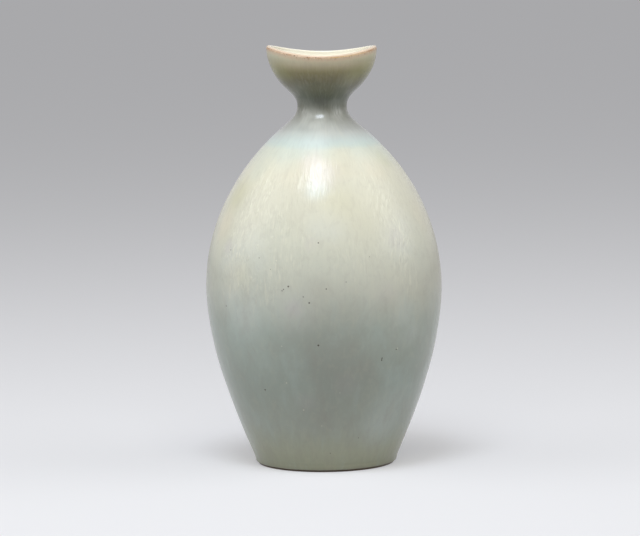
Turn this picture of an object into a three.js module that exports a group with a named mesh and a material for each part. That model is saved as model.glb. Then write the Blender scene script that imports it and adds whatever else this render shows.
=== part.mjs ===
// Stoneware bottle vase: one thrown clay body under three coats of glaze.
// Millimetres, +Z up, standing on z = 0, with the high sides of its lip at +X and -X.
import * as THREE from 'three';
import { mergeVertices } from 'three/addons/utils/BufferGeometryUtils.js';

// Rises of the clay outline, each counted from the ring below it
const heelRise = 4.5; // table to the top of the rounded heel
const bellyRise = 123; // heel to the widest ring
const shoulderRise = 105.5; // widest ring to where the shoulder turns hollow
const waistRise = 24; // shoulder to the narrowest ring of the neck
const bowlRise = 15.5; // waist to where the flare turns up into the bowl
const lipRise = 27.2; // bowl to the crest of the lip on its high sides

// Radii of the clay outline at those rings
const footRadius = 48.5; // outer edge of the flat that meets the table
const heelOverhang = 2.2; // how far the top of the heel stands out past the foot
const bellyRadius = 84.1;
const shoulderRadius = 37.6;
const waistRadius = 17.2;
const bowlRadius = 28;
const mouthRadius = 39.3;

// Lean of the wall from upright, in degrees
const heelLean = 17.3;
const shoulderLean = 45.6;
const bowlLean = 42.4;

// Fullness of each stretch of wall: its two Bezier handles as shares of its rise
const lowerWallFullness = [0.07, 0.43];
const upperWallFullness = [0.3, 0.47];
const neckFullness = [0.72, 0.37];
const flareFullness = [0.47, 0.43];
const bowlFullness = [0.37, 0.35];

// Lip, cut to a saddle: high at the left and right, low at the front and back
const saddleDepth = 5.6;
const outerLipRound = 1.5;
const innerLipRound = 0.9;
const bareLine = 0.9; // clay left bare round the outer corner of the lip

// Clay thickness
const heelWall = 8;
const bellyWall = 5.5;
const waistWall = 4.6;
const lipWall = 2.9;
const floorThickness = 8;
const floorSweep = 20; // height and width over which the inside turns from wall to floor

// Turned foot
const footRingWidth = 6.5;
const recessDepth = 2.6;
const recessSlope = 2.2;
const ringBevel = 0.7;

// Glaze
const outerGlaze = 0.5;
const innerGlaze = 0.5;
const recessGlaze = 0.35;
const crestGlaze = 0.3;
const brokenGlaze = 0.12; // where it thins out beside the bare line
const glazeRoll = 0.85; // thick edge where the running glaze stopped on the heel
const glazeLine = 1.3; // height of that edge above the table
const recessMargin = 1.2; // bare clay between the recess glaze and the foot ring
const bondGap = 0.02; // fused faces are drawn this far apart so that they never cross

// Facets
const sides = 40;
const lowerWallSpans = 6;
const upperWallSpans = 7;
const neckSpans = 4;
const flareSpans = 3;
const bowlSpans = 4;
const roundSpans = 2;
const sweepSpans = 3;

const { degToRad, radToDeg, mapLinear, smoothstep } = THREE.MathUtils;

// Sections are drawn in the half plane of radius and height
const point = (radius, height) => new THREE.Vector2(radius, height);

// A station is a point of a section and the direction out of the clay there
const station = (at, normal) => ({ at, normal });
const offset = ({ at, normal }, distance) => at.clone().addScaledVector(normal, distance);

// The value at a level, blended along a rising list of [level, value] pairs
function valueAt(pairs, level) {
  const above = pairs.findIndex(([step]) => step >= level);
  if (above < 0) return pairs[pairs.length - 1][1];
  if (above === 0) return pairs[0][1];
  const [[lowStep, low], [highStep, high]] = pairs.slice(above - 1, above + 1);
  return mapLinear(level, lowStep, highStep, low, high);
}

// Stations on a curve that keeps the clay on its left, at the given shares of it
function stationsAt(curve, shares) {
  return shares.map((share) => {
    const tangent = curve.getTangent(share);
    return station(curve.getPoint(share), point(tangent.y, -tangent.x));
  });
}

// Stations that lie closer where the curve bends more, so that every facet strays from it
// about equally. The first one belongs to the stretch before and is left out.
function stationsAfter(curve, spans) {
  const steps = 60;
  const bends = [[0, 0]];
  for (let i = 1; i <= steps; i++) {
    const [start, end] = [(i - 1) / steps, i / steps];
    const turn = curve.getTangent(start).cross(curve.getTangent(end));
    const length = curve.getPoint(start).distanceTo(curve.getPoint(end));
    bends.push([bends[i - 1][0] + Math.sqrt(Math.abs(turn) * length), end]);
  }
  const whole = bends[steps][0];
  const shares = Array.from({ length: spans }, (_, i) => valueAt(bends, (whole * (i + 1)) / spans));
  return stationsAt(curve, shares);
}

// A stretch of wall that starts and ends at given leans in degrees, positive outwards
function wallCurve(start, startLean, end, endLean, fullness) {
  const rise = end.y - start.y;
  const along = (lean) => point(Math.sin(degToRad(lean)), Math.cos(degToRad(lean)));
  const first = start.clone().addScaledVector(along(startLean), fullness[0] * rise);
  const second = end.clone().addScaledVector(along(endLean), -fullness[1] * rise);
  return new THREE.CubicBezierCurve(start, first, second, end);
}

// Part of a circle, between two directions from its centre in degrees above level
function roundCurve(centre, radius, from, to) {
  return new THREE.EllipseCurve(centre.x, centre.y, radius, radius, degToRad(from), degToRad(to));
}

// Rings of the outside
const bellyHeight = heelRise + bellyRise;
const shoulderHeight = bellyHeight + shoulderRise;
const waistHeight = shoulderHeight + waistRise;
const bowlHeight = waistHeight + bowlRise;
const lipHeight = bowlHeight + lipRise;

// The two rounds of the lip share its thickness and leave a narrow flat between them
const roundScale = Math.min(1, (0.95 * lipWall) / (outerLipRound + innerLipRound));
const outerRound = outerLipRound * roundScale;
const innerRound = innerLipRound * roundScale;

const heelPoint = point(footRadius + heelOverhang, heelRise);
const bellyPoint = point(bellyRadius, bellyHeight);
const shoulderPoint = point(shoulderRadius, shoulderHeight);
const waistPoint = point(waistRadius, waistHeight);
const bowlPoint = point(bowlRadius, bowlHeight);
const lipPoint = point(mouthRadius, lipHeight - outerRound);

// The heel rolls from the flat of the foot into the wall
const heelCorner = point(heelPoint.x - Math.tan(degToRad(heelLean)) * heelRise, 0);
const heelCurve = new THREE.QuadraticBezierCurve(point(footRadius, 0), heelCorner, heelPoint);
const glazeStart = Math.sqrt(glazeLine / heelRise); // share of the heel curve at the glaze line
const bareHeel = stationsAt(heelCurve, [glazeStart / 2]);
const heelShares = [0, 1 / 3, 2 / 3, 1].map((share) => glazeStart + share * (1 - glazeStart));
const glazedHeel = stationsAt(heelCurve, heelShares);

const lowerWall = wallCurve(heelPoint, heelLean, bellyPoint, 0, lowerWallFullness);
const upperWall = wallCurve(bellyPoint, 0, shoulderPoint, -shoulderLean, upperWallFullness);
const neckWall = wallCurve(shoulderPoint, -shoulderLean, waistPoint, 0, neckFullness);
const flareWall = wallCurve(waistPoint, 0, bowlPoint, bowlLean, flareFullness);
const bowlWall = wallCurve(bowlPoint, bowlLean, lipPoint, 0, bowlFullness);

const wall = [
  ...stationsAfter(lowerWall, lowerWallSpans),
  ...stationsAfter(upperWall, upperWallSpans),
  ...stationsAfter(neckWall, neckSpans),
  ...stationsAfter(flareWall, flareSpans),
  ...stationsAfter(bowlWall, bowlSpans),
];

// Crest of the lip. The glaze of the inside starts where the bare line ends.
const outerCentre = point(mouthRadius - outerRound, lipHeight - outerRound);
const innerCentre = point(mouthRadius - lipWall + innerRound, lipHeight - innerRound);
const bareAngle = radToDeg(bareLine / outerRound);
const outerCrest = roundCurve(outerCentre, outerRound, bareAngle, 90);
const innerCrest = roundCurve(innerCentre, innerRound, 90, 180);
const crest = [
  ...stationsAt(outerCrest, [0]),
  ...stationsAfter(outerCrest, roundSpans),
  ...stationsAt(innerCrest, [0]),
  ...stationsAfter(innerCrest, roundSpans),
];

// Inside of the wall, from the lip down: the outside moved in by the clay's thickness there
const clayThickness = [
  [heelRise, heelWall],
  [bellyHeight, bellyWall],
  [waistHeight, waistWall],
  [lipPoint.y, lipWall],
];
const floorHeight = recessDepth + floorThickness;
const moveIn = (outside) => {
  const thickness = valueAt(clayThickness, outside.at.y);
  return station(offset(outside, -thickness), outside.normal.clone().negate());
};
const insideWall = wall
  .map(moveIn)
  .filter(({ at }) => at.y > floorHeight + floorSweep && at.y < lipHeight - 2 * innerRound)
  .reverse();

// The inside wall sweeps into the floor, from its own direction to level
const lastInside = insideWall[insideWall.length - 1];
const down = point(-lastInside.normal.y, lastInside.normal.x);
const floorCorner = lastInside.at.clone().addScaledVector(down, (floorHeight - lastInside.at.y) / down.y);
const floorEdge = point(floorCorner.x - floorSweep, floorHeight);
const floorCurve = new THREE.QuadraticBezierCurve(lastInside.at, floorCorner, floorEdge);
const inside = [
  ...insideWall,
  ...stationsAfter(floorCurve, sweepSpans),
  station(point(0, floorHeight), point(0, 1)),
];

// Underside: a recess with a sloping side, inside the flat ring that meets the table
const ringInner = footRadius - footRingWidth;
const recessRadius = ringInner - recessSlope;
const underside = [
  point(0, recessDepth),
  point(recessRadius, recessDepth),
  point(ringInner, ringBevel),
  point(ringInner + ringBevel, 0),
  point(footRadius, 0),
];

// Facets that run up a section are split along one diagonal and those that run down along
// the other. So the two faces of a bond, which run opposite ways, match facet by facet.
function matchDiagonals(geometry, section) {
  const index = geometry.getIndex();
  const spans = section.length - 1;
  for (let facet = 0; facet < sides * spans; facet++) {
    const span = facet % spans;
    const run = section[span + 1].clone().sub(section[span]);
    if (run.y > 0.1 * run.x) continue;
    const [a, b, d, c] = [0, 1, 2, 3].map((corner) => index.getX(6 * facet + corner));
    [a, b, c, a, c, d].forEach((vertex, corner) => index.setX(6 * facet + corner, vertex));
  }
}

// The saddle: above the waist each point slides down the slope of the wall, by a share that
// grows towards the lip and is greatest at the front and the back. The lip keeps its section.
const slope = wall.map(({ at }) => [at.y, at.x]);
function cutSaddle(geometry) {
  const places = geometry.getAttribute('position');
  const place = new THREE.Vector3();
  for (let i = 0; i < places.count; i++) {
    place.fromBufferAttribute(places, i);
    if (place.z <= waistHeight) continue;
    const radius = Math.hypot(place.x, place.y);
    const level = Math.min(place.z, lipPoint.y);
    const drop = saddleDepth * smoothstep(level, waistHeight, lipPoint.y) * (place.y / radius) ** 2;
    const slide = valueAt(slope, level - drop) - valueAt(slope, level);
    const spread = 1 + slide / radius;
    places.setXYZ(i, place.x * spread, place.y * spread, place.z - drop);
  }
}

// A section turned round the Z axis into a closed solid
function turned(section) {
  const geometry = new THREE.LatheGeometry(section, sides);
  matchDiagonals(geometry, section);
  geometry.rotateX(Math.PI / 2);
  geometry.deleteAttribute('normal');
  geometry.deleteAttribute('uv');
  cutSaddle(geometry);
  const solid = mergeVertices(geometry);
  solid.computeVertexNormals();
  return solid;
}

// A coat of glaze over a run of stations. Unless the run ends on the axis, its section is closed.
function coat(run, thicknessOf) {
  const bonded = run.map((under) => offset(under, bondGap)).reverse();
  const free = run.map((under, i) => offset(under, bondGap + thicknessOf(under, i)));
  const endsOnAxis = run[run.length - 1].at.x === 0;
  return turned(endsOnAxis ? [...bonded, ...free] : [...bonded, ...free, bonded[0].clone()]);
}

const vase = new THREE.Group();

function addPiece(name, geometry, color, roughness) {
  const material = new THREE.MeshStandardMaterial({ color, roughness, metalness: 0 });
  const mesh = new THREE.Mesh(geometry, material);
  mesh.name = name;
  vase.add(mesh);
}

// The clay: underside, heel, outside wall, crest of the lip, inside wall and floor, as one body
const clay = [...bareHeel, ...glazedHeel, ...wall, ...crest, ...inside];
addPiece('stoneware_body', turned([...underside, ...clay.map(({ at }) => at)]), '#a98e74', 0.85);

// The outside coat: from the thick roll on the heel up to the bare line under the lip
const outerThickness = [
  [glazeLine, glazeRoll / 2],
  [glazeLine + glazeRoll, glazeRoll],
  [heelRise + glazeRoll, outerGlaze],
  [bowlHeight, outerGlaze],
  [lipPoint.y, brokenGlaze],
];
const outerCoat = coat([...glazedHeel, ...wall], ({ at }) => valueAt(outerThickness, at.y));
addPiece('outer_glaze', outerCoat, '#c9cbbb', 0.35);

// The inside coat: from the bare line over the crest and down to the middle of the floor
const innerThickness = (i) => (i < crest.length ? crestGlaze : innerGlaze);
const innerCoat = coat([...crest, ...inside], (_, i) => (i === 0 ? brokenGlaze : innerThickness(i)));
addPiece('inner_glaze', innerCoat, '#dcdccd', 0.3);

// The coat in the recess under the foot, a disc that thins at its edge
const recessFace = recessDepth - bondGap;
const discRadius = recessRadius - recessMargin;
const disc = [
  point(0, recessFace - recessGlaze),
  point(discRadius - recessGlaze, recessFace - recessGlaze),
  point(discRadius, recessFace),
  point(0, recessFace),
];
addPiece('recess_glaze', turned(disc), '#8d8a78', 0.4);

export default vase;
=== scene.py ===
import math

import bmesh
import bpy
from mathutils import Matrix, Vector, noise
from mathutils.geometry import interpolate_bezier


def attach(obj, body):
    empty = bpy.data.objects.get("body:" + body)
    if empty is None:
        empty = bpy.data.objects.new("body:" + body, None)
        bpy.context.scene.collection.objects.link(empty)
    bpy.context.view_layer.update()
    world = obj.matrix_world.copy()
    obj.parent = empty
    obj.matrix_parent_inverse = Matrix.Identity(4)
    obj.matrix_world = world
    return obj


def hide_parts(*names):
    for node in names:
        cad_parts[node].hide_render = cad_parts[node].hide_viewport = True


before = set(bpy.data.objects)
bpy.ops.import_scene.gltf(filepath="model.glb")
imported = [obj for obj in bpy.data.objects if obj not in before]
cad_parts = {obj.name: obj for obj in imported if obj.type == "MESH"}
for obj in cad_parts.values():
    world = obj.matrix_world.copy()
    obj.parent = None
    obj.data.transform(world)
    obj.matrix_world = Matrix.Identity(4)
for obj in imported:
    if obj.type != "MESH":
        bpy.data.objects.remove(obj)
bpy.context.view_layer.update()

mm = 0.001
turnSteps = 192  # columns of faces round the axis


# Sections of the turned shape, as points (radius, 0, height) in mm

# rings and leans of the clay outline, from the table up
outline = {
    "foot": (48.5, 0.0), "heel": (50.7, 4.5), "belly": (84.1, 127.5), "shoulder": (37.6, 233.0),
    "waist": (17.2, 257.0), "bowl": (28.0, 272.5), "lip": (39.3, 298.2), "crest": 299.7,
    "heelLean": 17.3, "shoulderLean": -45.6, "bowlLean": 42.4,  # degrees from upright, + outwards
    "lipRounds": (1.5, 0.9),  # outer and inner rounding of the lip
}


def ringPoint(name):
    radius, height = outline[name]
    return Vector((radius, 0, height))


def wallStretch(start, startLean, end, endLean, fullness, count):
    rise = end.z - start.z
    along = lambda lean: Vector((math.sin(math.radians(lean)), 0, math.cos(math.radians(lean))))
    first = start + along(startLean) * fullness[0] * rise
    second = end - along(endLean) * fullness[1] * rise
    return interpolate_bezier(start, first, second, end, count)


def arcPoints(centre, radius, fromAngle, toAngle, count):
    angles = [fromAngle + (toAngle - fromAngle) * i / (count - 1) for i in range(count)]
    turned = [Vector((math.cos(math.radians(a)), 0, math.sin(math.radians(a)))) for a in angles]
    return [centre + radius * t for t in turned]


def joinRuns(*runs):
    points = []
    for run in runs:
        points += [p for p in run if not points or (p - points[-1]).length > 0.02]
    return points


def moveOut(points, amounts):
    # each point moves along its normal; the clay is on the left of the way the points run
    moved = []
    for i, point in enumerate(points):
        way = (points[min(i + 1, len(points) - 1)] - points[max(i - 1, 0)]).normalized()
        amount = amounts[i] if isinstance(amounts, list) else amounts
        moved.append(point + Vector((way.z, 0, -way.x)) * amount)
    return moved


def blendAlong(pairs, level):
    if level <= pairs[0][0]:
        return pairs[0][1]
    for (low, lowValue), (high, highValue) in zip(pairs, pairs[1:]):
        if level <= high:
            return lowValue + (highValue - lowValue) * (level - low) / (high - low)
    return pairs[-1][1]


heelCorner = Vector((49.3, 0, 0))
heel = interpolate_bezier(
    ringPoint("foot"), ringPoint("foot").lerp(heelCorner, 2 / 3),
    ringPoint("heel").lerp(heelCorner, 2 / 3), ringPoint("heel"), 24)
wall = joinRuns(
    wallStretch(ringPoint("heel"), outline["heelLean"], ringPoint("belly"), 0, (0.07, 0.43), 40),
    wallStretch(ringPoint("belly"), 0, ringPoint("shoulder"), outline["shoulderLean"], (0.3, 0.47), 40),
    wallStretch(ringPoint("shoulder"), outline["shoulderLean"], ringPoint("waist"), 0, (0.72, 0.37), 26),
    wallStretch(ringPoint("waist"), 0, ringPoint("bowl"), outline["bowlLean"], (0.47, 0.43), 20),
    wallStretch(ringPoint("bowl"), outline["bowlLean"], ringPoint("lip"), 0, (0.37, 0.35), 26))
slope = [(p.z, p.x) for p in wall]
lipRadius, lipHeight = outline["lip"]
waistHeight = outline["waist"][1]
print("sections:", len(heel), "heel and", len(wall), "wall points")


# What the potter's hand did to the turned form, applied to every piece alike

handWork = {
    "saddle": 5.6,  # mm that the lip is cut down at the front and back
    "tilt": 0.5,  # mm that it is higher at the left horn and lower at the right
    "drift": [(0, 0), (50, 0.15), (100, -0.1), (150, -0.25), (200, 0.15), (236, -0.15),
              (250, 0.0), (264, 0.25), (300, 0.1)],  # sideways wander of the throwing, mm by height
    "waver": 0.16,  # soft unevenness of the wall, mm
}


def smoothStep(value, low, high):
    share = min(max((value - low) / (high - low), 0), 1)
    return share * share * (3 - 2 * share)


def handMoved(place):
    x, y, z = place / mm
    radius = math.hypot(x, y)
    if radius < 1e-6:
        return place.copy()
    share = smoothStep(min(z, lipHeight), waistHeight, lipHeight)
    level = min(z, lipHeight)
    drop = handWork["saddle"] * share * (y / radius) ** 2
    slide = blendAlong(slope, level - drop) - blendAlong(slope, level) if drop > 0 else 0
    waver = handWork["waver"] * noise.noise(Vector((x / 45, y / 45, z / 30))) * smoothStep(z, 2, 25)
    spread = 1 + (slide + waver) / radius
    shift = blendAlong(handWork["drift"], z)
    tilt = -handWork["tilt"] * share * x / lipRadius
    return Vector((x * spread + shift, y * spread, z - drop + tilt)) * mm


def turnedPiece(name, section, closed):
    shape = bmesh.new()
    verts = [shape.verts.new(point * mm) for point in section]
    edges = [shape.edges.new(pair) for pair in zip(verts, verts[1:])]
    if closed:
        edges.append(shape.edges.new((verts[-1], verts[0])))
    bmesh.ops.spin(shape, geom=verts + edges, cent=(0, 0, 0), axis=(0, 0, 1),
                   angle=2 * math.pi, steps=turnSteps, use_merge=True, use_duplicate=False)
    bmesh.ops.remove_doubles(shape, verts=shape.verts, dist=0.002 * mm)
    for vert in shape.verts:
        vert.co = handMoved(vert.co)
    bmesh.ops.recalc_face_normals(shape, faces=shape.faces)
    for face in shape.faces:
        face.smooth = True
    mesh = bpy.data.meshes.new(name)
    shape.to_mesh(mesh)
    shape.free()
    mesh.set_sharp_from_angle(angle=math.radians(38))
    piece = bpy.data.objects.new(name, mesh)
    bpy.context.scene.collection.objects.link(piece)
    print(name, len(mesh.vertices), "vertices")
    return piece


# Shader nodes written as sums

class Wire:  # a socket that takes part in Python expressions
    def __init__(self, finish, socket):
        self.finish = finish
        self.socket = socket

    def maths(self, operation, first, second):
        return self.finish.node("Math", {"operation": operation}, {0: first, 1: second})

    def __add__(self, other):
        return self.maths("ADD", self, other)

    def __radd__(self, other):
        return self.maths("ADD", other, self)

    def __sub__(self, other):
        return self.maths("SUBTRACT", self, other)

    def __rsub__(self, other):
        return self.maths("SUBTRACT", other, self)

    def __mul__(self, other):
        return self.maths("MULTIPLY", self, other)

    def __rmul__(self, other):
        return self.maths("MULTIPLY", other, self)

    def __truediv__(self, other):
        return self.maths("DIVIDE", self, other)


class Finish:  # a node tree under construction
    def __init__(self, owner):
        owner.use_nodes = True
        self.owner = owner
        self.tree = owner.node_tree
        self.tree.nodes.clear()

    def node(self, kind, settings=None, sockets=None, output=0):
        made = self.tree.nodes.new("ShaderNode" + kind)
        for key, value in (settings or {}).items():
            if key == "stops":
                self.setStops(made.color_ramp, value)
            else:
                setattr(made, key, value)
        for key, value in (sockets or {}).items():
            if isinstance(value, Wire):
                self.tree.links.new(value.socket, made.inputs[key])
            else:
                made.inputs[key].default_value = value
        return Wire(self, made.outputs[output]) if len(made.outputs) else made

    def setStops(self, ramp, stops):
        while len(ramp.elements) < len(stops):
            ramp.elements.new(0.5)
        for element, (place, color) in zip(ramp.elements, stops):
            element.position = place
            element.color = (*color, 1)

    def place(self):
        spot = self.node("TexCoord", output="Object")
        x, y, z = (self.node("SeparateXYZ", None, {0: spot}, axis) for axis in "XYZ")
        return spot, x, y, z

    def combine(self, x, y, z):
        return self.node("CombineXYZ", None, {0: x, 1: y, 2: z})

    def mixed(self, share, first, second):
        color = lambda c: c if isinstance(c, Wire) else (*c, 1)
        return self.node("Mix", {"data_type": "RGBA", "clamp_factor": True},
                         {0: share, 6: color(first), 7: color(second)}, 2)

    def noise(self, vector, scale, detail=2.0, roughness=0.5, distortion=0.0):
        return self.node("TexNoise", {"noise_dimensions": "3D"},
                         {"Vector": vector, "Scale": scale, "Detail": detail,
                          "Roughness": roughness, "Distortion": distortion})

    def smooth(self, value, low, high, start=0.0, end=1.0):
        return self.node("MapRange", {"interpolation_type": "SMOOTHSTEP"},
                         {0: value, 1: low, 2: high, 3: start, 4: end})

    def wrapped(self, across, away, height, grain):
        # noise laid round the wall: features per turn and per mm of height, detail, roughness, distortion
        features, climb, detail, roughness, distortion = grain
        vector = self.combine(across * features, away * features, height * climb)
        return self.noise(vector, 1.0, detail, roughness, distortion)

    def cells(self, vector, scale):
        # distance to the nearest of many scattered points, and a chance value that each of them has
        settings, sockets = {"feature": "F1"}, {"Vector": vector, "Scale": scale}
        distance = self.node("TexVoronoi", settings, sockets)
        color = self.node("TexVoronoi", settings, sockets, "Color")
        return distance, self.node("SeparateColor", None, {0: color})

    def outward(self, x, y):
        # distance from the axis in mm
        return self.node("Math", {"operation": "SQRT"}, {0: x * x + y * y}) * 1000.0

    def near(self, vector, centre, inner, outer):
        # 1 inside the inner distance of a point, 0 outside the outer one
        away = self.node("VectorMath", {"operation": "DISTANCE"}, {0: vector, 1: centre}, "Value")
        return self.smooth(away, inner, outer, 1.0, 0.0)

    def bump(self, height):
        # height in mm
        return self.node("Bump", None, {"Height": height, "Strength": 1.0, "Distance": mm})

    def surface(self, **sockets):
        named = {key.replace("_", " "): value for key, value in sockets.items()}
        shader = self.node("BsdfPrincipled", None, named)
        self.node("OutputMaterial", None, {"Surface": shader})
        return self.owner


def levels(finish, x, y, z):
    # height in mm, depth under the lip in mm, and the unit direction from the axis
    radius = finish.node("Math", {"operation": "SQRT"}, {0: x * x + y * y + 1e-9})
    across, away = x / radius, y / radius
    height = z * 1000.0
    lipDepth = 300.0 - handWork["saddle"] * away * away - handWork["tilt"] * across - height
    return across, away, height, lipDepth


def onFront(x, z, lift=0.52):
    # the point of the outer glaze that faces the viewer at a place across and up, in mm
    radius = blendAlong(slope, z) + lift
    return handMoved(Vector((x, -math.sqrt(max(radius * radius - x * x, 0)), z)) * mm)


# Clay: the thrown and turned body, bare at the lip's outer corner and on the foot ring

clay = {
    "wallThickness": [(4.5, 8.0), (127.5, 5.5), (257, 4.6), (298.2, 2.9)],
    "floorHeight": 10.6, "floorSweep": 20,
    "ring": [(0, 2.6), (39.8, 2.6), (42.0, 0.7), (42.7, 0.0)],  # recess and inner edge of the foot ring
    "color": (0.58, 0.37, 0.23), "dark": (0.24, 0.12, 0.07), "pale": (0.74, 0.57, 0.42),
    "foot": (0.13, 0.1, 0.07),  # darker towards the table: partly the clay's own brown where the foot stood on the kiln shelf, partly painted shade of the contact line
    "ochre": (0.72, 0.46, 0.2), "roughness": 0.78,
    "grain": (900, 4, 0.7), "patches": (130, 3, 0.6),  # noise: scale, detail, roughness
    "specks": 520.0,  # how close the dark specks stand
    "bareLine": 0.9,  # mm of bare clay over the lip's outer corner
    # on the front of the lip: mm across, and the distances where it is full and where it ends
    "specksAt": (-17, 8, 26), "ochreAt": (20, 8, 20),
}

outerRound, innerRound = outline["lipRounds"]
outerCentre = Vector((lipRadius - outerRound, 0, outline["crest"] - outerRound))
lipThickness = clay["wallThickness"][-1][1]
innerCentre = Vector((lipRadius - lipThickness + innerRound, 0, outline["crest"] - innerRound))
bareAngle = math.degrees(clay["bareLine"] / outerRound)
lipCorner = arcPoints(outerCentre, outerRound, 0, bareAngle, 6)
lipCrest = joinRuns(arcPoints(outerCentre, outerRound, bareAngle, 90, 9),
                    arcPoints(innerCentre, innerRound, 90, 180, 9))
floorTop = clay["floorHeight"] + clay["floorSweep"]
innerWall = moveOut(wall, [-blendAlong(clay["wallThickness"], p.z) for p in wall])
innerWall = [p for p in reversed(innerWall) if floorTop < p.z < innerCentre.z - 0.4]
down = (innerWall[-1] - innerWall[-2]).normalized()
floorCorner = innerWall[-1] + down * (clay["floorHeight"] - innerWall[-1].z) / down.z
floorEdge = floorCorner - Vector((clay["floorSweep"], 0, 0))
sweep = interpolate_bezier(innerWall[-1], innerWall[-1].lerp(floorCorner, 2 / 3),
                           floorEdge.lerp(floorCorner, 2 / 3), floorEdge, 14)
middle = [Vector((floorEdge.x * share, 0, clay["floorHeight"])) for share in (0.66, 0.33, 0)]
inside = joinRuns(lipCrest, innerWall, sweep, middle)
underside = [Vector((radius, 0, height)) for radius, height in clay["ring"]]
clayBody = turnedPiece("clayBody", joinRuns(underside, heel, wall, lipCorner, inside), closed=False)


def clayFinish():
    finish = Finish(bpy.data.materials.new("bareClay"))
    spot, x, y, z = finish.place()
    height, lipDepth = levels(finish, x, y, z)[2:]
    grain = finish.noise(spot, *clay["grain"])
    patches = finish.noise(spot, *clay["patches"])
    specks = finish.node("TexVoronoi", {"feature": "F1"}, {"Vector": spot, "Scale": clay["specks"]})
    color = finish.mixed(finish.smooth(patches, 0.4, 0.62), clay["color"], clay["pale"])
    color = finish.mixed(finish.smooth(grain, 0.52, 0.7) * 0.45, color, clay["dark"])

    def onLip(side, full, end):
        return finish.near(spot, onFront(side, lipHeight, 0), full * mm, end * mm)

    color = finish.mixed(onLip(*clay["ochreAt"]) * 0.5, color, clay["ochre"])
    crowd = onLip(*clay["specksAt"]) * 0.7 + finish.smooth(lipDepth, 8, 20, 0.3, 1.0)
    color = finish.mixed(finish.smooth(specks, 0.2, 0.34, 0.85, 0.0) * crowd, color, clay["dark"])
    # partly painted shade: the bare clay darkens towards the table, standing also for the shadow of the
    # contact line
    color = finish.mixed(finish.smooth(height, 12, 4) * 0.9, color, clay["foot"])
    rough = clay["roughness"] + (grain - 0.5) * 0.2
    bump = finish.bump(grain * 0.06 + patches * 0.05)
    return finish.surface(Base_Color=color, Roughness=rough, Normal=bump)


clayBody.data.materials.append(clayFinish())
print("clay done")


# Outer glaze: from the roll on the heel up to the bare line under the lip

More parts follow.
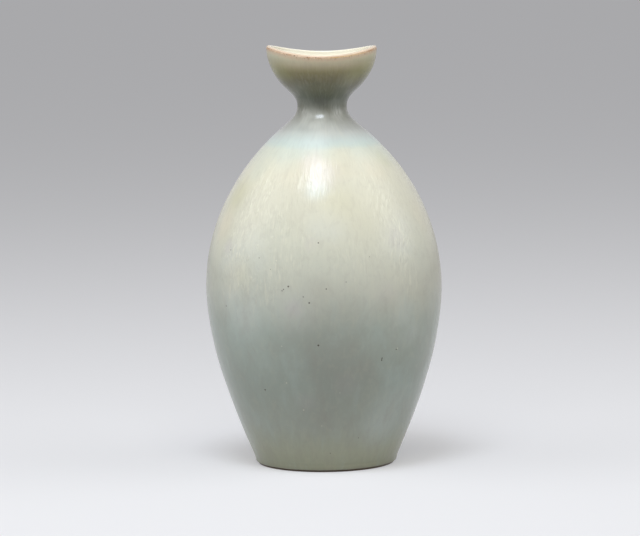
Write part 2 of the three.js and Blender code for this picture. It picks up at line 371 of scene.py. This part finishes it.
outerGlaze = {
    "thickness": [(1.3, 0.43), (2.15, 0.85), (5.35, 0.5), (272.5, 0.5), (298.2, 0.12)],
    "start": 1.3, "bond": 0.02, "bead": 0.8,  # the coat ends in a round bead at the heel
    # colour of the glaze by height in mm, before its bands wander and run; the darkest bands, round 264
    # under the bowl, are partly the glaze's own olive-grey and partly painted shade
    "bands": [
        (2, (0.37, 0.38, 0.27)), (7, (0.46, 0.48, 0.35)), (14, (0.49, 0.51, 0.38)),
        (34, (0.46, 0.5, 0.43)), (66, (0.41, 0.46, 0.4)), (104, (0.47, 0.52, 0.45)),
        (132, (0.65, 0.65, 0.55)), (165, (0.73, 0.72, 0.59)), (212, (0.7, 0.68, 0.55)),
        (224, (0.645, 0.668, 0.565)), (228.3, (0.635, 0.662, 0.562)), (231.2, (0.545, 0.622, 0.574)),
        (234, (0.52, 0.59, 0.565)), (239, (0.47, 0.49, 0.465)), (242, (0.38, 0.39, 0.37)),
        (254, (0.35, 0.36, 0.315)), (264, (0.13, 0.15, 0.1)), (277, (0.21, 0.19, 0.11)),
        (283, (0.32, 0.28, 0.13)), (288, (0.61, 0.53, 0.36)), (298, (0.8, 0.78, 0.6)),
    ],
    "wander": 14.0,  # mm that the bands rise and fall with the clouds, and again with the drips
    "broken": (0.76, 0.57, 0.4), "iron": (0.46, 0.24, 0.12), "ironDark": (0.08, 0.06, 0.045),
    "cream": (0.78, 0.75, 0.56), "mint": (0.55, 0.66, 0.62), "peach": (0.8, 0.71, 0.53),
    # shade is painted shadow where the bowl shades the front of the neck, and it also tints the dark runs
    # on the neck
    "crystal": (0.86, 0.85, 0.7), "brown": (0.4, 0.36, 0.31), "shade": (0.13, 0.14, 0.11),
    "straw": (0.62, 0.6, 0.38), "olive": (0.37, 0.38, 0.15), "ash": (0.29, 0.31, 0.27),
    # sheen is painted light and reflection on the sides of the neck foot and the bowl's underside
    "sheen": (0.4, 0.43, 0.42), "milk": (0.76, 0.79, 0.74), "frost": (0.72, 0.8, 0.79),
    # frost, on the line above, and rose are painted glow round the highlights
    "mauve": (0.62, 0.57, 0.58), "rose": (0.76, 0.66, 0.64),
    "roughness": 0.19,
    # noise in space: scale, detail, roughness
    "bend": (34, 2, 0.5), "clouds": (17, 3, 0.55), "haze": (9, 2, 0.5), "gather": (26, 2, 0.5),
    "peel": (420, 2, 0.5),
    "specks": 210.0,  # how close the chance pinholes at the back stand
    # noise drawn out along the way the glaze ran: features per turn and per mm of height,
    # sideways bend, detail, shift
    "strokes": (36.0, 0.115, 0.16, 2.5, 0.0), "hairs": (64.0, 0.17, 0.1, 2.0, 7.0),
    "trails": (30.0, 0.05, 0.1, 2.0, 11.0), "neckRuns": (13.0, 0.14, 0.1, 3.0, 3.0),
    "drips": (9.0, 0.03, 0.0, 3.0, 0.0),
    "dashes": (33.0, 0.12, 0.2),  # cells: features per turn and per mm of height, sideways bend
    # on the right of the front the strokes hang straight down and not along the slope of the wall:
    # where that starts and is full, the least radius that counts, and the radius that changes nothing
    "upright": {"start": 0.12, "full": 0.42, "leastRadius": 45.0, "evenRadius": 66.0},
    # noise laid round the wall: features per turn and per mm of height, detail, roughness, distortion
    "mottle": (5.0, 0.035, 4, 0.6, 0.4), "blots": (15.0, 0.13, 3, 0.6, 0.6),
    "ragged": (22.0, 0.35, 3, 0.6, 0.0), "ticks": (46.0, 0.22, 3, 0.65, 0.0),
    # ramps by height in mm that mark a zone: from, to, and the strengths there if not 0 and 1
    "zones": {
        "wander": [(195, 232, 1.0, 0.12), (4, 34)], "shoulder": [(96, 165), (238, 224)],
        "flocks": [(92, 140), (238, 224)], "dashes": [(125, 175, 0.1, 0.62)],
        "leftSide": [(60, 100), (180, 140)], "low": [(150, 105)], "neck": [(240, 256), (286, 279)],
        "olive": [(272, 281), (297, 286)], "sheen": [(247, 256), (278, 271)],
    },
    # mm under the lip where the glaze starts to break and where it is all broken
    "thinning": (5.8, 2.0), "rusting": (3.6, 2.2),
    # how strongly each layer tints the ones below; a pair is everywhere, and more where it gathers
    "shares": {
        "creamHaze": (0.06, 0.16), "mintHaze": 0.12, "leftSide": 0.16, "raised": (0.05, 0.12),
        "hollows": (0.03, 0.08), "hairs": (0.06, 0.14), "trails": 0.3, "mottle": 0.18,
        "paleBlots": 0.07, "darkBlots": 0.1, "neckMilk": 0.05, "neckShade": 0.16, "olive": 0.35,
        "sheen": 0.16, "holes": 0.9, "pips": 0.6, "broken": 0.78, "iron": 0.55,
    },
    # height of the relief in mm
    "relief": {"strokes": 0.36, "dashes": 0.1, "hairs": 0.08, "neckRuns": 0.1, "ridges": 0.11,
               "holes": 0.12, "pips": 0.08, "peel": 0.008},
    # soft patches on the front: across, up and size in mm, strength, tone; most are tints of the glaze
    # itself, some are painted shadow and painted glow, as marked
    "patches": [
        (13, 221, 14, 0.36, "peach"), (36, 216, 13, 0.3, "peach"), (-44, 211, 15, 0.3, "cream"),
        (-61, 196, 14, 0.5, "straw"), (-70, 176, 13, 0.35, "peach"), (55, 216, 12, 0.5, "straw"),
        (70, 180, 14, 0.3, "peach"), (-52, 158, 22, 0.25, "milk"), (56, 168, 20, 0.25, "milk"),
        # the milk patches at 178 and 243 up on the line below are painted glow below and above the main
        # highlight
        (2, 178, 15, 0.35, "milk"), (1, 243, 11, 0.3, "milk"), (21, 281, 9, 0.25, "straw"),
        (-20, 234, 17, 0.3, "mint"), (2, 100, 38, 0.26, "ash"), (8, 84, 30, 0.15, "brown"),
        (22, 62, 22, 0.08, "brown"), (-8, 42, 18, 0.2, "brown"), (-58, 98, 26, 0.2, "mint"),
        # the shade patch on the line below is painted shadow cast by the bowl on the front of the neck
        (58, 66, 28, 0.3, "mint"), (40, 36, 22, 0.25, "mint"), (-1, 260.7, 8, 0.8, "shade"),
        # the milk patch at 249 up and the frost patches on the line below are painted glow round the neck
        # highlight and the main highlight
        (-6, 249, 9, 0.6, "milk"), (-6, 231, 13, 0.4, "frost"), (-5, 202, 9, 0.4, "frost"),
        (10, 195, 12, 0.15, "straw"), (-5, 220, 11, 0.3, "peach"), (44, 220, 9, 0.35, "straw"),
        (-62, 141, 16, 0.5, "cream"), (-58, 118, 20, 0.35, "milk"), (-66, 150, 14, 0.35, "milk"),
        (-66, 130, 14, 0.3, "milk"), (66, 118, 16, 0.12, "straw"), (60, 106, 20, 0.3, "milk"),
        (44, 45, 18, 0.12, "milk"), (-4, 136, 10, 0.12, "brown"), (2, 60, 34, 0.2, "ash"),
        (-20, 92, 25, 0.12, "ash"), (-22, 118, 18, 0.2, "milk"), (36, 30, 14, 0.2, "milk"),
        (28, 190, 24, 0.25, "cream"), (4, 188, 15, 0.3, "cream"), (-36, 287, 8, 0.5, "straw"),
        (34, 288, 8, 0.4, "straw"), (-16, 212, 16, 0.2, "peach"), (-46, 213, 10, 0.2, "mint"),
        (-38.6, 295, 5, 0.6, "peach"), (38.6, 296, 4, 0.5, "peach"), (-9, 165, 6, 0.3, "mauve"),
        (-67, 161, 6, 0.3, "mauve"), (-21, 121, 7, 0.3, "mauve"), (51, 167, 8, 0.25, "mauve"),
        (44, 130, 9, 0.12, "mauve"), (14, 66, 10, 0.1, "mauve"), (-14, 54, 8, 0.2, "mauve"),
        # the rose patches on the line below are painted pink glow round the main highlight
        (-8, 221, 10, 0.25, "rose"), (0, 213, 12, 0.25, "rose"),
    ],
    # flocks of raised crystal strokes on the front: across, up and size in mm, strength; their pale
    # dashes are partly the crystals' own colour and partly painted glints of the side lamps
    "flocks": [
        (-38, 208, 15, 0.9), (-48, 193, 16, 1.0), (-56, 176, 16, 1.0), (-60, 158, 18, 1.0),
        (-62, 138, 18, 1.0), (-15, 208, 10, 0.8), (-4, 199, 11, 0.7), (31, 208, 13, 0.6),
        (40, 192, 15, 0.9), (47, 177, 16, 0.9), (54, 160, 16, 0.8), (58, 142, 15, 0.6),
        (-22, 165, 22, 0.5), (20, 155, 22, 0.45), (-32, 182, 16, 0.6), (-45, 130, 18, 0.9),
        (-64, 122, 15, 0.8), (-30, 145, 15, 0.7), (60, 132, 12, 0.6),
    ],
    # single pinholes on the front: across, up and size in mm
    "pinholes": [
        (-3.6, 166.6, 0.55), (-24.8, 136.5, 0.65), (1.6, 134.9, 0.5), (-14.5, 129.4, 0.45),
        (-10.4, 125.2, 0.65), (-69.1, 119.5, 0.5), (-4.5, 95.0, 0.75), (39.6, 82.4, 0.65),
        (39.9, 83.7, 0.6), (50.0, 89.0, 0.5), (-42.5, 61.0, 0.65), (15.5, 139.4, 0.35),
        (-28.2, 134.4, 0.5), (-29.2, 133.4, 0.45), (-45.0, 155.4, 0.4), (-65.3, 159.1, 0.45),
        (22.8, 25.3, 0.4), (2.8, 14.6, 0.35), (32.0, 156.0, 0.3), (-37.0, 148.0, 0.3),
    ],
    "pips": [  # pale raised specks
        (-15.6, 47.4, 0.55), (-27.2, 67.2, 0.5), (-30.1, 94.0, 0.45), (50.9, 89.8, 0.5),
        (-3.0, 35.5, 0.4), (-33.0, 154.0, 0.6), (-46.0, 164.0, 0.5), (10.0, 60.0, 0.35),
    ],
    # small ridges where the neck meets the shoulder: across, up and size in mm
    "ridges": [(-4.5, 250.6, 2.4), (-1.8, 250.8, 2.4), (1.0, 250.6, 2.2)],
    # painted glints: bunched vertical highlights painted at the foot of the neck: across, up and size in
    # mm, strength
    "paintedGlints": [(-12.5, 254.5, 5.5, 0.5), (10.5, 254.0, 5.5, 0.55)],
}

coatStart = outerGlaze["start"]
glazedWall = joinRuns([p for p in heel if p.z >= coatStart], wall)
free = []
for point in glazedWall:
    edge = min((point.z - coatStart) / outerGlaze["bead"], 1)
    depth = blendAlong(outerGlaze["thickness"], point.z) * math.sqrt(max(edge, 0.01))
    free.append(outerGlaze["bond"] + depth)
bonded = moveOut(glazedWall, outerGlaze["bond"])
outerGlazeCoat = turnedPiece("outerGlazeCoat", bonded[::-1] + moveOut(glazedWall, free), closed=True)


def outerFinish():
    finish = Finish(bpy.data.materials.new("outerGlaze"))
    spot, x, y, z = finish.place()
    across, away, height, lipDepth = levels(finish, x, y, z)
    shares, relief, upright = outerGlaze["shares"], outerGlaze["relief"], outerGlaze["upright"]

    def zone(name):
        return math.prod(finish.smooth(height, *ramp) for ramp in outerGlaze["zones"][name])

    def gathered(name, where):
        everywhere, more = shares[name]
        return everywhere + where * more

    def tinted(share, tone):
        return finish.mixed(share, color, outerGlaze[tone])

    def spots(name, inner, outer):
        # round spots on the front; the sizes at which they are full and end, as shares of their own size
        marks = 0.0
        for side, up, size in outerGlaze[name]:
            marks = marks + finish.near(spot, onFront(side, up), size * inner * mm, size * outer * mm)
        return marks

    # runs of the glaze
    bend = finish.noise(spot, *outerGlaze["bend"]) - 0.5
    outward = finish.outward(x, y)
    counted = finish.node("Math", {"operation": "MAXIMUM"}, {0: outward, 1: upright["leastRadius"]})
    spread = counted / upright["evenRadius"] - 1.0
    hung = across * (spread * finish.smooth(across, upright["start"], upright["full"]) + 1.0)

    def runs(name, side):
        features, climb, swing, detail, shift = outerGlaze[name]
        vector = finish.combine((side + bend * swing) * features + shift,
                                (away + bend * swing) * features, height * climb)
        return finish.noise(vector, 1.0, detail, 0.58, 0.35)

    strokes = runs("strokes", hung)
    hairs = runs("hairs", hung)
    trails = runs("trails", hung)
    neckRuns = runs("neckRuns", across)
    drips = runs("drips", across)
    clouds = finish.noise(spot, *outerGlaze["clouds"])
    haze = finish.noise(spot, *outerGlaze["haze"])

    # bands of colour that wander with the clouds and run down with the drips
    wander = (clouds - 0.5) * outerGlaze["wander"] + (drips - 0.5) * outerGlaze["wander"]
    level = (height + wander * zone("wander")) / 300.0
    color = finish.node("ValToRGB", {"stops": [(h / 300, c) for h, c in outerGlaze["bands"]]}, {0: level})

    # haze and patches
    shoulder = zone("shoulder")
    color = tinted(finish.smooth(haze, 0.5, 0.68) * gathered("creamHaze", shoulder), "cream")
    color = tinted(finish.smooth(haze, 0.5, 0.34) * shares["mintHaze"], "mint")
    color = tinted(finish.smooth(across, -0.2, -0.85) * zone("leftSide") * shares["leftSide"], "mint")
    for side, up, size, share, tone in outerGlaze["patches"]:
        patch = finish.near(spot, onFront(side, up), size * 0.2 * mm, size * 1.4 * mm)
        color = tinted(patch * share * finish.smooth(clouds, 0.3, 0.55), tone)

    # raised strokes of crystals: long cells strung out down the wall, in flocks on the shoulder; their
    # pale tint is partly the crystals' own colour and partly painted glints of the side lamps
    flock = finish.smooth(finish.noise(spot, *outerGlaze["gather"]), 0.45, 0.65, 0.0, 0.5)
    flock = flock * finish.smooth(away, -0.1, 0.3)
    for side, up, size, strength in outerGlaze["flocks"]:
        patch = finish.near(spot, onFront(side, up), size * 0.3 * mm, size * 1.2 * mm)
        flock = flock + patch * strength
    flock = finish.node("Clamp", None, {0: flock}) * zone("flocks")
    features, climb, swing = outerGlaze["dashes"]
    strewn = finish.combine((hung + bend * swing) * features, (away + bend * swing) * features,
                            height * climb)
    nearest, chance = finish.cells(strewn, 1.0)
    chosen = finish.smooth(chance + (flock - 0.5) * 0.5, 0.3, 0.5)
    dashes = finish.smooth(nearest, 0.46, 0.16) * chosen * flock
    raised = finish.smooth(strokes, 0.53, 0.66) * shoulder
    color = tinted(raised * gathered("raised", flock), "crystal")
    color = tinted(dashes * zone("dashes"), "crystal")
    color = tinted(finish.smooth(strokes, 0.46, 0.3) * gathered("hollows", flock), "brown")
    color = tinted((hairs - 0.5) * gathered("hairs", shoulder) + 0.02, "cream")
    color = tinted(finish.smooth(trails, 0.53, 0.63) * flock * shares["trails"], "crystal")

    # mottling of the lower body
    mottle = finish.wrapped(across, away, height, outerGlaze["mottle"])
    blots = finish.wrapped(across, away, height, outerGlaze["blots"])
    low = zone("low")
    color = tinted(finish.smooth(mottle, 0.5, 0.7) * low * shares["mottle"], "mint")
    color = tinted(finish.smooth(mottle, 0.5, 0.32) * low * shares["mottle"], "brown")
    color = tinted(finish.smooth(blots, 0.5, 0.68) * shares["paleBlots"], "cream")
    color = tinted(finish.smooth(blots, 0.5, 0.34) * shares["darkBlots"], "brown")

    # neck: runs, painted glints, olive sides above, and painted sheen below: the sides of the neck foot
    # and of the bowl's underside made paler where side light and the floor's reflection fall
    neck = zone("neck")
    color = tinted(finish.smooth(neckRuns, 0.54, 0.66) * neck * shares["neckMilk"], "milk")
    color = tinted(finish.smooth(neckRuns, 0.47, 0.34) * neck * shares["neckShade"], "shade")
    # painted highlights: milk-coloured vertical glints at the foot of the neck
    for side, up, size, strength in outerGlaze["paintedGlints"]:
        paintedGlint = finish.near(spot, onFront(side, up), size * 0.2 * mm, size * mm)
        color = tinted(paintedGlint * strength * finish.smooth(strokes, 0.42, 0.6), "milk")
    beside = finish.node("Math", {"operation": "ABSOLUTE"}, {0: across})
    color = tinted(finish.smooth(beside, 0.45, 0.85) * zone("olive") * shares["olive"], "olive")
    # painted sheen: paler sides of the neck foot and the bowl's underside stand in for side light and the
    # floor's reflection
    sheen = finish.smooth(beside, 0.2, 0.5) * finish.smooth(beside, 0.85, 0.6)
    color = tinted(sheen * zone("sheen") * shares["sheen"], "sheen")

    # pinholes, more of them by chance at the back, and pale pips
    nearest, chance = finish.cells(spot, outerGlaze["specks"])
    specks = finish.smooth(nearest, 0.12, 0.06) * finish.smooth(chance, 0.9, 0.92)
    specks = specks * finish.smooth(away, -0.3, 0.2)
    holes = finish.node("Clamp", None, {0: spots("pinholes", 0.5, 1.25) + specks * 0.6})
    color = tinted(holes * shares["holes"], "ironDark")
    pips = spots("pips", 0.5, 1.3)
    color = tinted(pips * shares["pips"], "crystal")

    # where the glaze thins towards the lip the iron of the clay breaks through
    ragged = finish.wrapped(across, away, height, outerGlaze["ragged"])
    thin = finish.smooth(lipDepth + (ragged - 0.5) * 3.0, *outerGlaze["thinning"])
    color = tinted(thin * shares["broken"], "broken")
    ticks = finish.wrapped(across, away, height, outerGlaze["ticks"])
    rust = finish.smooth(lipDepth + (ragged - 0.5) * 2.4, *outerGlaze["rusting"])
    color = tinted(finish.smooth(ticks, 0.52, 0.62) * rust * shares["iron"], "iron")

    ridges = spots("ridges", 0.0, 1.0)
    rough = outerGlaze["roughness"] + (clouds - 0.5) * 0.1 + (hairs - 0.5) * 0.1
    rough = rough + holes * 0.3 - ridges * 0.05 + shoulder * 0.01 - neck * 0.06
    body = 0.06 + shoulder * (0.54 + flock * 0.4)
    rise = strokes * body * relief["strokes"] + dashes * relief["dashes"] + hairs * body * relief["hairs"]
    rise = rise + neckRuns * neck * relief["neckRuns"] + ridges * relief["ridges"]
    rise = rise + pips * relief["pips"] - holes * relief["holes"]
    rise = rise + finish.noise(spot, *outerGlaze["peel"]) * relief["peel"]
    return finish.surface(Base_Color=color, Roughness=rough, IOR=1.42, Normal=finish.bump(rise))


outerGlazeCoat.data.materials.append(outerFinish())
print("outer glaze done")


# Inner glaze: over the crest of the lip and down the whole inside

innerGlaze = {
    "crest": 0.3, "inside": 0.5, "edge": 0.12, "bond": 0.02,  # thickness in mm, and its gap to the clay
    "color": (0.86, 0.82, 0.69), "deep": (0.6, 0.6, 0.5), "peach": (0.78, 0.68, 0.52),
    "broken": (0.72, 0.56, 0.41), "roughness": 0.26,
    "clouds": (60, 3, 0.55), "ragged": (20.0, 0.4, 3, 0.6, 0.0),  # noise, as in the outer glaze
}

thickness = []
for i, point in enumerate(inside):
    crestShare = min(i / 4, 1)
    depth = smoothStep(i, len(lipCrest) - 1, len(lipCrest) + 6)
    ground = innerGlaze["edge"] + (innerGlaze["crest"] - innerGlaze["edge"]) * crestShare
    thickness.append(innerGlaze["bond"] + ground + (innerGlaze["inside"] - innerGlaze["crest"]) * depth)
bonded = moveOut(inside, innerGlaze["bond"])
bonded[-1].x = 0
free = moveOut(inside, thickness)
free[-1].x = 0
innerGlazeCoat = turnedPiece("innerGlazeCoat", bonded[::-1] + free, closed=False)


def innerFinish():
    finish = Finish(bpy.data.materials.new("innerGlaze"))
    spot, x, y, z = finish.place()
    across, away, height, lipDepth = levels(finish, x, y, z)
    clouds = finish.noise(spot, *innerGlaze["clouds"])
    ragged = finish.wrapped(across, away, height, innerGlaze["ragged"])
    color = finish.mixed(finish.smooth(lipDepth, 8, 40), innerGlaze["color"], innerGlaze["deep"])
    color = finish.mixed(finish.smooth(clouds, 0.4, 0.7) * 0.2, color, innerGlaze["peach"])
    rim = finish.outward(x, y) + (ragged - 0.5) * 1.6
    edge = finish.smooth(rim, lipRadius - 3.2, lipRadius - 1.2)
    color = finish.mixed(edge * finish.smooth(lipDepth, 8, 5), color, innerGlaze["broken"])
    rough = innerGlaze["roughness"] + (clouds - 0.5) * 0.1
    bump = finish.bump(clouds * 0.05 + ragged * 0.02)
    return finish.surface(Base_Color=color, Roughness=rough, IOR=1.45, Normal=bump)


innerGlazeCoat.data.materials.append(innerFinish())
print("inner glaze done")


# Recess glaze: the disc under the foot

recessGlaze = {
    "radius": 38.6, "thickness": 0.35, "face": 2.58,
    "color": (0.36, 0.35, 0.27), "dark": (0.27, 0.25, 0.18), "edge": (0.34, 0.22, 0.13),
    "roughness": 0.38, "clouds": (70, 4, 0.6),  # noise: scale, detail, roughness
    "rings": 1.9,  # how close the turning rings are, radians per mm
}

discRadius, discDepth, discTop = (recessGlaze[key] for key in ("radius", "thickness", "face"))
edgeRound = [Vector((discRadius - discDepth * (1 - math.sin(a)), 0, discTop - discDepth * math.cos(a)))
             for a in (0, math.pi / 6, math.pi / 3, math.pi / 2)]
lowFace = [Vector((radius, 0, discTop - discDepth)) for radius in (0, 13, 26)]
topFace = [Vector((radius, 0, discTop)) for radius in (26, 13, 0)]
recessGlazeCoat = turnedPiece("recessGlazeCoat", lowFace + edgeRound + topFace, closed=False)


def recessFinish():
    finish = Finish(bpy.data.materials.new("recessGlaze"))
    spot, x, y = finish.place()[:3]
    clouds = finish.noise(spot, *recessGlaze["clouds"])
    radius = finish.outward(x, y)
    rings = finish.node("Math", {"operation": "SINE"}, {0: radius * recessGlaze["rings"] + clouds * 3.0})
    color = finish.mixed(finish.smooth(clouds, 0.35, 0.7), recessGlaze["color"], recessGlaze["dark"])
    color = finish.mixed(finish.smooth(radius + clouds * 4, 36, 41), color, recessGlaze["edge"])
    bump = finish.bump(rings * 0.04 + clouds * 0.08)
    return finish.surface(Base_Color=color, Roughness=recessGlaze["roughness"] + clouds * 0.15,
                          IOR=1.45, Normal=bump)


recessGlazeCoat.data.materials.append(recessFinish())
print("recess glaze done")

for piece, node in ((clayBody, "stoneware_body"), (outerGlazeCoat, "outer_glaze"),
                    (innerGlazeCoat, "inner_glaze"), (recessGlazeCoat, "recess_glaze")):
    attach(piece, "root")
    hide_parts(node)


# Studio: pale floor, soft lamps, camera

studio = {
    "floorRadius": 16.0, "floorColor": (0.45, 0.45, 0.46), "floorLift": 0.36,
    "paleTint": (0.97, 0.97, 1.0), "skyLight": 0.1, "skySeen": 0.7,
    "eye": (0, -2.5, 0.418), "target": (-0.00285, 0, 0.14028), "roll": -0.698, "lens": 196.875,
}
# degrees round from the front and up, metres away, size, and how bright a white card facing it gets
lamps = {
    "keyLamp": {"round": -14, "up": 65.6, "away": 1.6, "size": (0.52, 0.56), "level": 0.46,
                "mirrors": True, "color": (0.78, 0.86, 1)},
    "frontLamp": {"round": -5.9, "up": 59.8, "away": 1.8, "size": (1.3, 1.3), "level": 0.582,
                  "mirrors": False, "color": (1, 0.975, 0.893)},
    "leftLamp": {"round": -86, "up": 38, "away": 1.7, "size": (1.3, 1.6), "level": 0.32,
                 "mirrors": True, "color": (1, 1, 1)},
    "rightLamp": {"round": 84, "up": 36, "away": 1.7, "size": (1.3, 1.6), "level": 0.34,
                  "mirrors": True, "color": (1, 1, 1)},
}


def seenRays(finish):
    # 1 for what the camera sees directly, in gloss or through glass
    paths = [finish.node("LightPath", output=name)
             for name in ("Is Camera Ray", "Is Glossy Ray", "Is Transmission Ray")]
    return finish.node("Clamp", None, {0: paths[0] + paths[1] + paths[2]})


def makeFloor():
    ground = bmesh.new()
    bmesh.ops.create_circle(ground, cap_ends=True, segments=96, radius=studio["floorRadius"])
    mesh = bpy.data.meshes.new("floor")
    ground.to_mesh(mesh)
    ground.free()
    floor = bpy.data.objects.new("floor", mesh)
    bpy.context.scene.collection.objects.link(floor)
    finish = Finish(bpy.data.materials.new("paleFloor"))
    matt = finish.node("BsdfDiffuse", None, {"Color": (*studio["floorColor"], 1)})
    glow = {"Color": (*studio["paleTint"], 1), "Strength": studio["floorLift"]}
    seen = finish.node("AddShader", None, {0: matt, 1: finish.node("Emission", None, glow)})
    shader = finish.node("MixShader", None, {0: seenRays(finish), 1: matt, 2: seen})
    finish.node("OutputMaterial", None, {"Surface": shader})
    mesh.materials.append(finish.owner)


def makeLamp(name, lamp):
    light = bpy.data.lights.new(name, "AREA")
    light.shape = "RECTANGLE"
    light.size, light.size_y = lamp["size"]
    light.energy = lamp["level"] * (math.pi * lamp["away"]) ** 2
    light.color = lamp["color"]
    up, side = math.radians(lamp["up"]), math.radians(lamp["round"])
    way = Vector((math.sin(side) * math.cos(up), -math.cos(side) * math.cos(up), math.sin(up)))
    stand = bpy.data.objects.new(name, light)
    stand.location = Vector((0, -0.03, 0.2)) + way * lamp["away"]
    stand.rotation_euler = (-way).to_track_quat("-Z", "Y").to_euler()
    stand.visible_glossy = lamp["mirrors"]
    bpy.context.scene.collection.objects.link(stand)


def makeSky():
    world = bpy.data.worlds.new("studioSky")
    bpy.context.scene.world = world
    finish = Finish(world)
    dim = finish.node("Background", None, {"Color": (1, 1, 1, 1), "Strength": studio["skyLight"]})
    glow = {"Color": (*studio["paleTint"], 1), "Strength": studio["skySeen"]}
    pale = finish.node("Background", None, glow)
    shader = finish.node("MixShader", None, {0: seenRays(finish), 1: dim, 2: pale})
    finish.node("OutputWorld", None, {"Surface": shader})


def makeCamera():
    camera = bpy.data.cameras.new("camera")
    camera.sensor_fit = "HORIZONTAL"
    camera.sensor_width = 36
    camera.lens = studio["lens"]
    camera.clip_end = 100
    viewer = bpy.data.objects.new("camera", camera)
    eye, target = Vector(studio["eye"]), Vector(studio["target"])
    turned = (target - eye).to_track_quat("-Z", "Y").to_matrix().to_4x4()
    turned = turned @ Matrix.Rotation(math.radians(studio["roll"]), 4, "Z")
    viewer.matrix_world = Matrix.Translation(eye) @ turned
    bpy.context.scene.collection.objects.link(viewer)
    bpy.context.scene.camera = viewer


makeFloor()
for name, lamp in lamps.items():
    makeLamp(name, lamp)
makeSky()
makeCamera()
bpy.context.scene.view_settings.view_transform = "Standard"
print("studio done")
